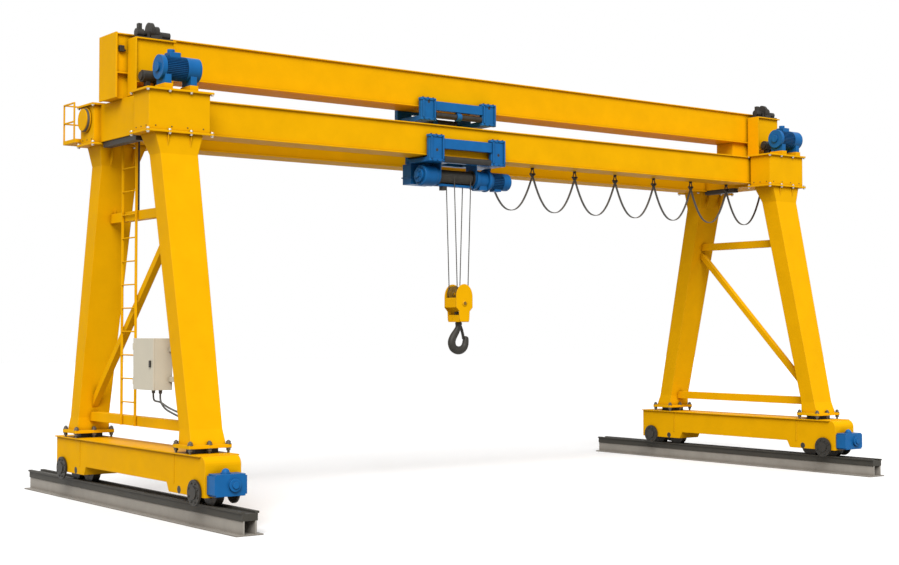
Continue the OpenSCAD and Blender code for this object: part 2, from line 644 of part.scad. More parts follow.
// A round bar between two points that lie across the track.
module stay(r, a, b) translate(a) rotate([0, atan2(b[0] - a[0], b[2] - a[2]), 0])
  cylinder(r = r, h = norm(b - a), $fn = 24);
module hoist_rope() color([0.35, 0.34, 0.32]) for (s = [-1, 1]) translate([hook_x, trolley_y + s * fall_y, 0]) {
  for (t = [-1, 1]) {
    bend = [t * sheave_r, 0, block_z + 150];
    bar_z(rope_r, block_z, bend[2], bend[0], 0);
    translate(bend) sphere(r = rope_r + 0.6, $fn = 32);
    stay(rope_r, bend, [t * fall_x, 0, drum_z]);
  }
  translate([0, 0, block_z]) rotate([90, 0, 0]) rotate([0, 0, 180]) rotate_extrude(angle = 180, $fn = 64)
    translate([sheave_r, 0]) circle(r = rope_r, $fn = 24);
}

trolley_roller_z = girder_z0 + flange_t + roll_gap + roller_r;
module trolley_rollers(t) rollers(trolley_x + t * post_mid, trolley_y, trolley_roller_z, girder_w / 2);
module trolley_rollers_left() color(dark) trolley_rollers(-1);
module trolley_rollers_right() color(dark) trolley_rollers(1);

// Upper trolley

upper_roller_z = upper_z0 + flange_t + roll_gap + roller_r;
upper_yoke_z0 = upper_z0 - 190;
upper_bar_z = upper_z0 - 105;
module upper_trolley() color(blue) translate([upper_trolley_x, yc + upper_y, 0]) {
  y0 = upper_flange_y + frame_gap;
  difference() {
    union() {
      for (s = [-1, 1]) {
        portal_side(s, y0, upper_yoke_z0, upper_z0 + 125, upper_z0 - 40, upper_z0 + 88);
        bar_x(56, -38, 38, s * (y0 + frame_t / 2), upper_bar_z);
        box([-28, s * (y0 + frame_t / 2) - 24, upper_bar_z], [28, s * (y0 + frame_t / 2) + 24, upper_z0 - 39]);
      }
      for (t = [-1, 1]) translate([t * post_mid, 0, 0])
        box([-90, -y0 - 1, upper_yoke_z0], [90, y0 + 1, upper_yoke_z0 + 70]);
    }
    roller_bores(y0, upper_roller_z);
  }
}
module upper_bars() color(dark) translate([upper_trolley_x, yc + upper_y, 0]) for (s = [-1, 1], t = [-1, 1])
  bar_x(bar_r, t > 0 ? 38 : -post_in + 9, t > 0 ? post_in - 9 : -38,
        s * (upper_flange_y + frame_gap + frame_t / 2), upper_bar_z);
module upper_rollers(t) rollers(upper_trolley_x + t * post_mid, yc + upper_y, upper_roller_z, upper_w / 2);
module upper_rollers_left() color(dark) upper_rollers(-1);
module upper_rollers_right() color(dark) upper_rollers(1);

// Hook block

cross_z0 = block_z - 395;
cross_z1 = block_z - 295;
cheek_y0 = fall_y + 31;
cheek_t = 16;
sheave_rim = sheave_r + 19;
pin_r = 26;
module hook_block() color(yellow) translate([hook_x, trolley_y, 0]) difference() {
  union() {
    for (s = [-1, 1]) mirror([0, s > 0 ? 1 : 0, 0]) {
      bar_y(block_r, -cheek_y0 - cheek_t, -cheek_y0, 0, block_z);
      box([-block_r, -cheek_y0 - cheek_t, block_z - 190], [block_r, -cheek_y0, block_z]);
      rotate([90, 0, 0]) translate([0, 0, cheek_y0]) linear_extrude(cheek_t)
        polygon([[-block_r, block_z - 180], [-95, cross_z0], [95, cross_z0], [block_r, block_z - 180]]);
      bar_y(46, -cheek_y0 - cheek_t - 14, -cheek_y0, 0, block_z);
      bar_y(30, -cheek_y0 - cheek_t - 10, -cheek_y0, 0, cross_z0 + 50);
    }
    bar_y(pin_r, -cheek_y0, cheek_y0, 0, block_z);
    box([-85, -cheek_y0 - 1, cross_z0], [85, cheek_y0 + 1, cross_z1]);
  }
  bar_z(32 + run_gap, cross_z0 - 1, cross_z1 + 1, 0, 0);
}
module sheave(s) translate([hook_x, trolley_y + s * fall_y, block_z]) rotate([90, 0, 0]) rotate_extrude($fn = 96)
  polygon([[pin_r + run_gap, -24], [50, -24], [50, -10], [sheave_r - 24, -10], [sheave_rim, -19],
    [sheave_rim, -13], [sheave_r - rope_r - 0.6, -9], [sheave_r - rope_r - 0.6, 9], [sheave_rim, 13],
    [sheave_rim, 19], [sheave_r - 24, 10], [50, 10], [50, 24], [pin_r + run_gap, 24]]);
module sheave_front() color(dark) sheave(-1);
module sheave_rear() color(dark) sheave(1);

bowl_z = cross_z0 - 288;
module hook() color(dark) translate([hook_x, trolley_y, 0]) {
  bar_z(32, bowl_z + bowl_r - 10, cross_z1 + 50, 0, 0);
  bar_z(58, cross_z1 + roll_gap, cross_z1 + 44, 0, 0);
  bar_z(46, cross_z0 - 60, cross_z0 - 6, 0, 0);
  translate([0, 0, bowl_z]) rotate([90, 0, 0]) rotate([0, 0, 90]) rotate_extrude(angle = 280, $fn = 72)
    translate([bowl_r, 0]) circle(r = hook_t, $fn = 32);
}

rail_beams();
rail_caps();
carriage_left();
carriage_right();
travel_gearboxes();
leg_pedestals();
leg_left_near();
leg_left_far();
leg_right_near();
leg_right_far();
lower_ties();
upper_ties();
diagonals();
head_beam_left();
head_beam_right();
front_girder();
rear_girder();
upper_girder();
drive_brackets();
drive_brakes();
drive_cylinders();
drive_motors();
ladder();
cabinet();
cabinet_hoses();
cabinet_door();
platform();
cable_reel();
reel_cable();
cable_trays();
festoon_carriers();
festoon_cable();
trolley_frame();
trolley_bars();
hoist_gearbox();
hoist_motor();
control_box();
hoist_rope();
rope_drum();
trolley_rollers_left();
trolley_rollers_right();
upper_trolley();
upper_bars();
upper_rollers_left();
upper_rollers_right();
hook_block();
sheave_front();
sheave_rear();
hook();
wheel_left_1();
wheel_left_2();
wheel_left_3();
wheel_left_4();
wheel_right_1();
wheel_right_2();
wheel_right_3();
wheel_right_4();
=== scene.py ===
"""Looks of the gantry crane: camera, cords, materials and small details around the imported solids."""
import json
import math
from itertools import product

import bmesh
import bpy
from mathutils import Matrix, Vector


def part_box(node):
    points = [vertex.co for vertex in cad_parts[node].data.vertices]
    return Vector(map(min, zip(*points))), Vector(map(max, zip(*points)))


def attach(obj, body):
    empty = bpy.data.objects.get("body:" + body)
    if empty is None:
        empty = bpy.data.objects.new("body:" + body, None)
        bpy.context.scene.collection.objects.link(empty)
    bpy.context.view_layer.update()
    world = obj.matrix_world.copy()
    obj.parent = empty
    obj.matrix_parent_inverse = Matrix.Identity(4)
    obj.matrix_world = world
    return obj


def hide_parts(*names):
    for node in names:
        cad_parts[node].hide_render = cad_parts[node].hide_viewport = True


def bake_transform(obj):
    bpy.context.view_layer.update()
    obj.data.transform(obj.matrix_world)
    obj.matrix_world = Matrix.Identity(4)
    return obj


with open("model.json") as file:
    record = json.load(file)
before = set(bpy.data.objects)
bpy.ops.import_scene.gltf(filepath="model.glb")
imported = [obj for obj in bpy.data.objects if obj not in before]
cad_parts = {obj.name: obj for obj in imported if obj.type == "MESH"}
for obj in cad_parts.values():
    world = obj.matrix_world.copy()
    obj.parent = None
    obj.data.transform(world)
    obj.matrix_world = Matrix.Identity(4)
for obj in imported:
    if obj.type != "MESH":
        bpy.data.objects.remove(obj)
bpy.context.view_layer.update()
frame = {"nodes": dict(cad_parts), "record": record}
X, Y, Z = range(3)
SIDES = (-1, 1)


# Places, in metres, worked out from the solids' boxes where these give them

def lowest(node, axis):
    return round(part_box(node)[0][axis], 4)


def highest(node, axis):
    return round(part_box(node)[1][axis], 4)


def middle(node, axis):
    return (lowest(node, axis) + highest(node, axis)) / 2


def extent(node, axis):
    return highest(node, axis) - lowest(node, axis)


# Portals: carriages, outer wheels, feet of the legs and ties
HALF_SPAN, CRANE_Y = middle("carriage_right", X), middle("carriage_left", Y)
CAR_W, CAR_TOP = 0.46, highest("carriage_left", Z)
WHEEL_R, HUB_R = 0.17, 0.15
WHEEL_OUT, AXLE_Z = CRANE_Y - middle("wheel_left_1", Y), lowest("wheel_left_1", Z) + WHEEL_R
FOOT_Y, FOOT_Z, FOOT_T = 1.62, lowest("leg_left_near", Z), 0.042
LEG_Z0 = FOOT_Z + FOOT_T
TIE_Z, UPPER_TIE_TOP = lowest("lower_ties", Z), highest("upper_ties", Z)

# Head boxes: plate thickness and lip, depth of a box along the head beam
HEAD_T, HEAD_LIP, HEAD_BOX = 0.026, 0.038, 0.41
HEAD_Z0, HEAD_Z1 = lowest("head_beam_left", Z), highest("head_beam_left", Z)
HEAD_HALF = extent("head_beam_left", Y) / 2 - HEAD_LIP
HEAD_W = extent("head_beam_left", X) - 2 * HEAD_LIP

# Front girder and both trolleys: body, middle, front face, and the posts' lower and upper ends
GIRDER_Z0 = lowest("front_girder", Z)
TROLLEY_X, TROLLEY_Y = middle("trolley_bars", X), middle("front_girder", Y)
POST_MID = 0.545
TROLLEYS = (
    ("trolley", TROLLEY_X, TROLLEY_Y, extent("trolley_frame", Y) / 2,
     lowest("trolley_bars", Z), highest("trolley_frame", Z)),
    ("upper_trolley", middle("upper_trolley", X), middle("upper_girder", Y), 0.343,
     lowest("upper_trolley", Z), highest("upper_trolley", Z)),
)

# Hoist: drum between two hangers, gear train on the left, motor on the right
HANGER_T = 0.02
HANGER_LEFT, HANGER_RIGHT = lowest("rope_drum", X), highest("rope_drum", X) - HANGER_T
DRUM_X0, DRUM_Z = HANGER_LEFT + 0.022, middle("rope_drum", Z)
GEAR_COVER_X, MOTOR_X = HANGER_LEFT - 0.265, lowest("hoist_motor", X)
GEAR_DROP, MOTOR_DROP = 0.01, 0.015

# Rope and hook block: the falls spread from the sheaves to the drum above a bend
HOOK_X, BLOCK_Z = middle("sheave_front", X), middle("sheave_front", Z)
FALL_X, FALL_Y, FALL_BEND = 0.148, middle("sheave_rear", Y) - TROLLEY_Y, 0.15
SHEAVE_R, ROPE_R = 0.098, 0.008
CROSS_Z0, CROSS_Z1 = BLOCK_Z - 0.395, BLOCK_Z - 0.295
CHEEK_Y, CHEEK_T = FALL_Y + 0.031, 0.016
PIN_R, SHANK_R = 0.026, 0.032
BOWL_Z = CROSS_Z0 - 0.288


# Camera

CAMERA_AT = (-13.578, -17.469, 2.253)
CAMERA_TILT, CAMERA_TURN = math.radians(91.86), math.radians(-36.97)
FOCAL_PX, FRAME_W_PX, SENSOR_MM = 1482.3, 899.0, 36.0


def make_camera():
    """The photograph's viewpoint: near left, a little above head height, looking slightly up."""
    data = bpy.data.cameras.new("camera")
    data.sensor_width = SENSOR_MM
    data.lens = FOCAL_PX / FRAME_W_PX * SENSOR_MM
    data.clip_end = 200.0
    cam = bpy.data.objects.new("camera", data)
    cam.location = CAMERA_AT
    cam.rotation_euler = (CAMERA_TILT, 0.0, CAMERA_TURN)
    bpy.context.scene.collection.objects.link(cam)
    bpy.context.scene.camera = cam


# Materials

# Colour sockets of a Mix node
MIX_A, MIX_B, MIX_OUT = 6, 7, 2
WHITE, BLACK = (1, 1, 1, 1), (0, 0, 0, 1)


def new_material(name):
    mat = bpy.data.materials.new(name)
    mat.use_nodes = True
    tree = mat.node_tree
    return mat, tree.nodes, tree.links, tree.nodes["Principled BSDF"]


def noise(nodes, links, scale, detail=6.0):
    """A noise in object space, in features per metre."""
    coord = nodes.new("ShaderNodeTexCoord")
    node = nodes.new("ShaderNodeTexNoise")
    node.inputs["Scale"].default_value = scale
    node.inputs["Detail"].default_value = detail
    node.inputs["Roughness"].default_value = 0.6
    links.new(coord.outputs["Object"], node.inputs["Vector"])
    return node.outputs["Fac"]


def ramp(nodes, links, source, stops):
    """Colours between two stops, each a position and a colour."""
    node = nodes.new("ShaderNodeValToRGB")
    for element, (position, colour) in zip(node.color_ramp.elements, stops):
        element.position, element.color = position, colour
    links.new(source, node.inputs["Fac"])
    return node.outputs["Color"]


def shade(rgb, k):
    return (rgb[0] * k, rgb[1] * k, rgb[2] * k, 1.0)


def painted_edge_highlight(nodes, links, rgb, tone, rounded):
    """The tone, paler along edges as a painted highlight: there the rounded normal turns away from the face's
    own.
    """
    face = nodes.new("ShaderNodeNewGeometry")
    turn = nodes.new("ShaderNodeVectorMath")
    turn.operation = "DOT_PRODUCT"
    links.new(rounded, turn.inputs[0])
    links.new(face.outputs["Normal"], turn.inputs[1])
    edge = ramp(nodes, links, turn.outputs["Value"], [(0.75, shade(WHITE, 0.5)), (0.99, BLACK)])
    highlit = nodes.new("ShaderNodeMix")
    highlit.data_type = "RGBA"
    links.new(edge, highlit.inputs["Factor"])
    links.new(tone, highlit.inputs[MIX_A])
    # A lighter copy of the paint, for the painted highlight along edges
    highlit.inputs[MIX_B].default_value = tuple(min(1.0, c * 1.25 + 0.03) for c in rgb) + (1.0,)
    return highlit.outputs[MIX_OUT]


def corner_painted_shade(nodes, links, colour):
    """The colour, darker and browner in corners: painted shade."""
    corners = nodes.new("ShaderNodeAmbientOcclusion")
    corners.samples = 6
    corners.inputs["Distance"].default_value = 0.10
    # Painted shade: a brownish dark where the corners close in
    painted_shade_ramp = ramp(nodes, links, corners.outputs["AO"],
                 [(0.30, shade((1, 0.92, 0.85), 0.52)), (0.85, WHITE)])
    mix = nodes.new("ShaderNodeMix")
    mix.data_type, mix.blend_type = "RGBA", "MULTIPLY"
    mix.inputs["Factor"].default_value = 1.0
    links.new(colour, mix.inputs[MIX_A])
    links.new(painted_shade_ramp, mix.inputs[MIX_B])
    return mix.outputs[MIX_OUT]


def paint(name, rgb, rough=0.42, spread=0.06, scale=3.0, bump=0.02, metal=0.0, shine=0.5):
    """Enamel on metal: soft patches of tone and gloss, a painted highlight along edges, painted shade in
    corners, orange peel.
    """
    mat, nodes, links, bsdf = new_material(name)
    patches = noise(nodes, links, scale)
    tone = ramp(nodes, links, patches,
                [(0.30, shade(rgb, 1 - spread)), (0.70, shade(rgb, 1 + spread * 0.5))])
    bevel = nodes.new("ShaderNodeBevel")
    bevel.samples = 4
    bevel.inputs["Radius"].default_value = 0.010
    rounded = bevel.outputs["Normal"]
    # Painted highlight along the edges, then painted shade in the corners
    highlit = painted_edge_highlight(nodes, links, rgb, tone, rounded)
    links.new(corner_painted_shade(nodes, links, highlit), bsdf.inputs["Base Color"])
    gloss = ramp(nodes, links, patches,
                 [(0.25, shade(WHITE, rough - 0.06)), (0.75, shade(WHITE, rough + 0.08))])
    links.new(gloss, bsdf.inputs["Roughness"])
    peel = nodes.new("ShaderNodeBump")
    peel.inputs["Strength"].default_value = bump
    peel.inputs["Distance"].default_value = 0.002
    links.new(noise(nodes, links, 120.0, detail=2.0), peel.inputs["Height"])
    links.new(rounded, peel.inputs["Normal"])
    links.new(peel.outputs["Normal"], bsdf.inputs["Normal"])
    bsdf.inputs["Metallic"].default_value = metal
    bsdf.inputs["Specular IOR Level"].default_value = shine
    return mat


MATERIALS = {
    "yellow": paint("yellow_enamel", (0.775, 0.385, 0.0012), rough=0.5, spread=0.06, shine=0.02),
    "blue": paint("blue_enamel", (0.008, 0.116, 0.335), rough=0.38, spread=0.12, scale=6.0, shine=0.12),
    "dark": paint("dark_iron", (0.030, 0.027, 0.022), rough=0.5, spread=0.35, scale=9.0,
                  bump=0.12, shine=0.3),
    "grey": paint("track_grey", (0.31, 0.285, 0.25), rough=0.6, spread=0.12, scale=5.0,
                  bump=0.06, shine=0.3),
    "cap": paint("track_cap", (0.046, 0.042, 0.034), rough=0.6, spread=0.2, scale=6.0,
                 bump=0.08, shine=0.3),
    "beige": paint("cabinet_beige", (0.56, 0.51, 0.40), rough=0.45, spread=0.05, shine=0.3),
    "rubber": paint("cable_rubber", (0.10, 0.095, 0.085), rough=0.6, spread=0.2, scale=12.0),
    "rope": paint("wire_rope", (0.07, 0.065, 0.055), rough=0.5, spread=0.3, scale=30.0, metal=0.6),
    "forged": paint("forged_steel", (0.035, 0.032, 0.026), rough=0.5, spread=0.4, scale=14.0,
                    bump=0.2, shine=0.25),
    # The block's yellow darkened to a painted shade, for the sheaves and the pins on the cheeks
    "painted_shade_yellow": paint("yellow_enamel_in_painted_shade", (0.21, 0.115, 0.012), rough=0.4, spread=0.3, scale=18.0, shine=0.3),
    "stud": paint("oiled_stud", (0.12, 0.105, 0.08), rough=0.4, spread=0.3, scale=25.0, metal=0.4),
    "bolt": paint("zinc_bolt", (0.62, 0.60, 0.54), rough=0.35, spread=0.15, scale=40.0, metal=0.7),
}


def dress_solids():
    """Gives every solid the finish of its slot."""
    for sub in frame["record"]["subparts"]:
        finishes = frame["nodes"][sub["node"]].data.materials
        finishes.clear()
        finishes.append(MATERIALS[sub["material_slot"]])


# Mesh helpers

def piece(name, bm, finish, body=None, smooth=False):
    """A new object from bm, in the named finish, that rides on body."""
    data = bpy.data.meshes.new(name)
    bm.to_mesh(data)
    bm.free()
    data.materials.append(MATERIALS[finish])
    if smooth:
        data.polygons.foreach_set("use_smooth", [True] * len(data.polygons))
    obj = bpy.data.objects.new(name, data)
    bpy.context.scene.collection.objects.link(obj)
    if body:
        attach(obj, body)
    return obj


def frange(low, high, count):
    return [low + (high - low) * i / (count - 1) for i in range(count)]


def skin(bm, rings):
    """Faces between each closed ring of points and the next."""
    n = len(rings[0])
    for r0, r1 in zip(rings, rings[1:]):
        for k in range(n):
            bm.faces.new((r0[k], r0[(k + 1) % n], r1[(k + 1) % n], r1[k]))


def loft(bm, rings):
    """A skin over the rings, closed at both ends."""
    skin(bm, rings)
    bm.faces.new(rings[0][::-1])
    bm.faces.new(rings[-1])


def revolve(bm, centre, axis, profile, steps):
    """Turns a closed profile, points (radius, place along the axis), about a level axis, X or Y."""
    rings = []
    for i in range(steps):
        a = 2 * math.pi * i / steps
        rings.append([])
        for radius, along in profile:
            at = list(centre)
            at[axis] += along
            at[1 - axis] += radius * math.cos(a)
            at[Z] += radius * math.sin(a)
            rings[-1].append(bm.verts.new(at))
    skin(bm, rings[-1:] + rings)


def round_section(radius, sides):
    turns = [2 * math.pi * j / sides for j in range(sides)]
    return [(radius * math.cos(a), radius * math.sin(a)) for a in turns]


def flat_section(width, thick):
    a, b = width / 2, thick / 2
    return [(-a, -b), (a, -b), (a, b), (-a, b)]


def sweep(bm, path, section, up):
    """Sweeps a closed section, points (side, up), along path. The section's top is turned to up."""
    rings = []
    for i, p in enumerate(path):
        ahead = Vector(path[min(i + 1, len(path) - 1)]) - Vector(path[max(i - 1, 0)])
        ahead.normalize()
        side = ahead.cross(Vector(up)).normalized()
        top = side.cross(ahead)
        rings.append([bm.verts.new(Vector(p) + side * a + top * b) for a, b in section])
    loft(bm, rings)
    bmesh.ops.recalc_face_normals(bm, faces=bm.faces)


def spline(knots, steps):
    """A smooth run of points through the knots."""
    run = []
    for i in range(len(knots) - 1):
        a, b, c, d = (Vector(knots[min(max(i + j, 0), len(knots) - 1)]) for j in (-1, 0, 1, 2))
        slope, bend, twist = c - a, 2 * a - 5 * b + 4 * c - d, 3 * b - a - 3 * c + d
        for k in range(steps):
            t = k / steps
            run.append(0.5 * (2 * b + slope * t + bend * t * t + twist * t ** 3))
    return run + [Vector(knots[-1])]


def box(bm, low, high):
    """A block between two opposite corners."""
    low, high = Vector(low), Vector(high)
    made = bmesh.ops.create_cube(bm, size=1.0)["verts"]
    bmesh.ops.scale(bm, vec=high - low, verts=made)
    bmesh.ops.translate(bm, vec=(low + high) / 2, verts=made)


def rod(bm, a, b, radius, sides=16):
    """A round bar from a to b, or one of few sides."""
    a, b = Vector(a), Vector(b)
    turn = Vector((0, 0, 1)).rotation_difference(b - a).to_matrix().to_4x4()
    bmesh.ops.create_cone(bm, cap_ends=True, segments=sides, radius1=radius, radius2=radius,
                          depth=(b - a).length, matrix=Matrix.Translation((a + b) / 2) @ turn)


def upright(bm, x, y, z0, z1, radius, sides=16):
    rod(bm, (x, y, z0), (x, y, z1), radius, sides)


# Festoon cable: the flat cable's route repeats the solid's

FEST_LOOPS, LOOP_STEPS = 7, 32
FEST_Y = TROLLEY_Y + 0.15
FEST_X0, FEST_X1 = TROLLEY_X + 0.71, HALF_SPAN + 0.25
FEST_DX = (FEST_X1 - FEST_X0) / FEST_LOOPS
FEST_Z, FEST_SAG, SAG_POWER = GIRDER_Z0 - 0.114, 0.54, 2.2
FEST_W, FEST_T = 0.034, 0.012


def festoon_path():
    path = []
    for loop in range(FEST_LOOPS):
        for k in range(LOOP_STEPS):
            t = k / LOOP_STEPS
            drop = FEST_SAG * (1 - abs(2 * t - 1) ** SAG_POWER)
            path.append((FEST_X0 + (loop + t) * FEST_DX, FEST_Y, FEST_Z - drop))
    return path + [(FEST_X1, FEST_Y, FEST_Z)]


def make_festoon():
    """The flat cable in sagging loops."""
    path = festoon_path()
    bm = bmesh.new()
    sweep(bm, path, flat_section(FEST_W, FEST_T), (0, 0, 1))
    cable = piece("festoon_flat_cable", bm, "rubber")
    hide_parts("festoon_cable")
    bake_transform(cable)


def make_carriers():
    """A-shaped hangers on two small rollers, each with a clamp plate over a round saddle."""
    leg_r, roller_r, saddle_r = 0.009, 0.016, 0.026
    leg_foot, leg_head, plate_half, end_half = 0.036, 0.008, 0.044, 0.04
    half_w, roller_gap = 0.022, 0.006
    front, back, roller_z = FEST_Y - half_w, FEST_Y + half_w, GIRDER_Z0 - 0.017
    bm = bmesh.new()
    for i in range(1, FEST_LOOPS):
        x = FEST_X0 + i * FEST_DX
        for s in SIDES:
            foot = (x + s * leg_foot, FEST_Y, FEST_Z + 0.02)
            rod(bm, foot, (x + s * leg_head, FEST_Y, GIRDER_Z0 - 0.012), leg_r, 8)
            rod(bm, (x, FEST_Y + s * roller_gap, roller_z), (x, FEST_Y + s * half_w, roller_z), roller_r)
        box(bm, (x - plate_half, front, FEST_Z + 0.008), (x + plate_half, back, FEST_Z + 0.03))
        rod(bm, (x, front, FEST_Z + 0.004), (x, back, FEST_Z + 0.004), saddle_r, 20)
    box(bm, (FEST_X1 - end_half, front, FEST_Z + 0.006), (FEST_X1 + end_half, back, HEAD_Z0 + 0.03))
    carriers = piece("festoon_hangers", bm, "dark")
    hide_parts("festoon_carriers")
    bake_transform(carriers)


# Hoist rope

def strand_paths(centre, radius, strands, turns_per_metre):
    """Strands laid round a centre line that lies in a plane across Y."""
    paths = [[] for _ in range(strands)]
    run = 0.0
    for i, p in enumerate(centre):
        if i:
            run += (p - centre[i - 1]).length
        ahead = (centre[min(i + 1, len(centre) - 1)] - centre[max(i - 1, 0)]).normalized()
        side = Vector((0, 1, 0))
        top = side.cross(ahead)
        for k in range(strands):
            a = 2 * math.pi * (k / strands + run * turns_per_metre)
            paths[k].append(p + (side * math.cos(a) + top * math.sin(a)) * radius)
    return paths


def fall_x(z):
    """Distance of a fall from the hook's centre line at a height: it spreads from the block to the drum."""
    bend_z = BLOCK_Z + FALL_BEND
    return SHEAVE_R + (FALL_X - SHEAVE_R) * max(0.0, (z - bend_z) / (DRUM_Z - bend_z))


def make_rope():
    """Twisted strands down one fall, round the sheave and up the other, at both sheaves."""
    step, strands, turns_per_metre = 0.016, 4, 8.0
    section = round_section(0.46 * ROPE_R, 6)
    falls = int((DRUM_Z - BLOCK_Z) / step)
    heights = [DRUM_Z + (BLOCK_Z - DRUM_Z) * i / falls for i in range(falls)]
    bm = bmesh.new()
    for s in SIDES:
        y = TROLLEY_Y + s * FALL_Y
        down = [Vector((HOOK_X - fall_x(z), y, z)) for z in heights]
        turn = [Vector((HOOK_X - SHEAVE_R * math.cos(a), y, BLOCK_Z - SHEAVE_R * math.sin(a)))
                for a in frange(0.0, math.pi, 25)]
        up = [Vector((2 * HOOK_X - p.x, y, p.z)) for p in reversed(down)]
        for path in strand_paths(down + turn + up, 0.54 * ROPE_R, strands, turns_per_metre):
            sweep(bm, path, section, (0, 1, 0))
    rope = piece("hoist_rope_strands", bm, "rope", smooth=True)
    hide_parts("hoist_rope")
    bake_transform(rope)


def make_drum_turns():
    """Rope wound along the whole drum."""
    turns, steps = 30, 24
    first_x, pitch, radius = DRUM_X0 + 0.03, 2 * ROPE_R + 0.002, FALL_Y - 0.0005
    path = []
    for i in range(turns * steps + 1):
        a = 2 * math.pi * i / steps
        path.append((first_x + pitch * i / steps, TROLLEY_Y + radius * math.cos(a),
                     DRUM_Z + radius * math.sin(a)))
    bm = bmesh.new()
    sweep(bm, path, round_section(0.9 * ROPE_R, 6), (1, 0, 0))
    piece("drum_rope_turns", bm, "rope", body="rope_drum", smooth=True)


# Bolts, rivets and studs

def hex_bolt(bm, at, out, size):
    """A washer and a hexagon head on a face. The face looks towards out."""
    at, out = Vector(at), Vector(out)
    rod(bm, at - out * 0.001, at + out * size * 0.3, size * 1.3, 12)
    rod(bm, at + out * size * 0.3, at + out * size * 1.1, size, 6)


def bolt_ring(bm, centre, axis, radius, count, size):
    """Bolts on a round flange that faces along axis."""
    axis = Vector(axis)
    across = axis.orthogonal().normalized()
    along = axis.cross(across)
    for i in range(count):
        a = 2 * math.pi * (i + 0.5) / count
        hex_bolt(bm, Vector(centre) + (across * math.cos(a) + along * math.sin(a)) * radius, axis, size)


def make_head_bolts():
    """Two rows of bolts through the lips of the head boxes' plates, seen from above and below."""
    half_x, half_y = (HEAD_W + HEAD_LIP) / 2, (HEAD_BOX + HEAD_LIP) / 2
    faces = ((HEAD_Z1 - HEAD_T, -1), (HEAD_Z0 + HEAD_T, 1), (HEAD_Z0, -1))
    bm = bmesh.new()
    for sx, sy, (z, out) in product(SIDES, SIDES, faces):
        x, y = sx * HALF_SPAN, CRANE_Y + sy * (HEAD_HALF - HEAD_BOX / 2)
        for dx, row in product(frange(-half_x, half_x, 4), SIDES):
            hex_bolt(bm, (x + dx, y + row * half_y, z), (0, 0, out), 0.018)
    piece("head_bolts", bm, "bolt", body="crane")


def make_rivets():
    """Rows of small dark rivets along the lower edge of the head boxes."""
    size, z, end_gap, side_gap = 0.006, HEAD_Z0 + 0.075, 0.09, 0.07
    bm = bmesh.new()
    for sx, sy in product(SIDES, SIDES):
        front = CRANE_Y + sy * HEAD_HALF
        for dx in frange(-HEAD_W / 2 + end_gap, HEAD_W / 2 - end_gap, 4):
            hex_bolt(bm, (sx * HALF_SPAN + dx, front, z), (0, sy, 0), size)
        for dy, out in product(frange(side_gap, HEAD_BOX - side_gap, 3), SIDES):
            hex_bolt(bm, (sx * HALF_SPAN + out * HEAD_W / 2, front - sy * dy, z), (out, 0, 0), size)
    piece("head_rivets", bm, "dark", body="crane")


def make_foot_studs():
    """Long studs through the base flanges, with nuts above and below, down to the carriages."""
    stud_r, washer_r, nut_r = 0.015, 0.036, 0.028
    washer_t, nut_end, stud_end = 0.006, 0.034, 0.046
    bm = bmesh.new()
    for sx, sy, dx, dy in product(SIDES, SIDES, (-0.245, 0.0, 0.245), (-0.178, 0.178)):
        x, y = sx * HALF_SPAN + dx, CRANE_Y + sy * FOOT_Y + dy
        upright(bm, x, y, CAR_TOP, LEG_Z0 + stud_end, stud_r, 12)
        for z, out in ((LEG_Z0, 1), (FOOT_Z, -1)):
            upright(bm, x, y, z, z + out * washer_t, washer_r)
            upright(bm, x, y, z + out * washer_t, z + out * nut_end, nut_r, 6)
    piece("foot_studs", bm, "stud", body="crane")


def hoist_flange_bolts(bm):
    """Rings of bolts on the gear cover, on its cap and on the flange beside the right hanger."""
    bolt_ring(bm, (GEAR_COVER_X, TROLLEY_Y, DRUM_Z), (-1, 0, 0), 0.114, 12, 0.007)
    bolt_ring(bm, (HANGER_LEFT - 0.30, TROLLEY_Y, DRUM_Z), (-1, 0, 0), 0.072, 6, 0.008)
    bolt_ring(bm, (HANGER_RIGHT + 0.07, TROLLEY_Y, DRUM_Z - GEAR_DROP), (1, 0, 0), 0.136, 12, 0.006)


def make_trolley_bolts():
    """Bolts at both ends of the trolleys' posts, in front, and on the hoist's flanges."""
    size, inset, pitch = 0.010, 0.017, 0.085
    for body, x, y, face, low, high in TROLLEYS:
        bm = bmesh.new()
        if body == "trolley":
            hoist_flange_bolts(bm)
        for s, dx, z in product(SIDES, (-pitch, 0.0, pitch), (low + inset, high - inset)):
            hex_bolt(bm, (x + s * POST_MID + dx, y - face, z), (0, -1, 0), size)
        piece(body + "_bolts", bm, "blue", body=body)


def make_hub_bolts():
    """A ring of bolts on both discs of each outer wheel."""
    disc_out, ring_r = CAR_W / 2 + 0.034, HUB_R * 0.76
    for (side, sx), (number, sy) in product((("left", -1), ("right", 1)), ((1, -1), (4, 1))):
        bm = bmesh.new()
        for out in SIDES:
            centre = (sx * HALF_SPAN + out * disc_out, CRANE_Y + sy * WHEEL_OUT, AXLE_Z)
            bolt_ring(bm, centre, (out, 0, 0), ring_r, 8, 0.011)
        piece(f"hub_bolts_{side}_{number}", bm, "dark", body=f"wheel_{side}_{number}")


# Trolley trim

def make_post_ribs():
    """Raised ribs down the edges of both trolleys' posts, front and back."""
    inset, edge, half_w, sunk, proud = 0.034, 0.100, 0.014, 0.002, 0.009
    for body, x, y, face, low, high in TROLLEYS:
        bm = bmesh.new()
        for t, e, s in product(SIDES, SIDES, SIDES):
            at = x + t * POST_MID + e * edge
            y0, y1 = sorted((y + s * (face - sunk), y + s * (face + proud)))
            box(bm, (at - half_w, y0, low + inset), (at + half_w, y1, high - inset))
        piece(body + "_ribs", bm, "blue", body=body)


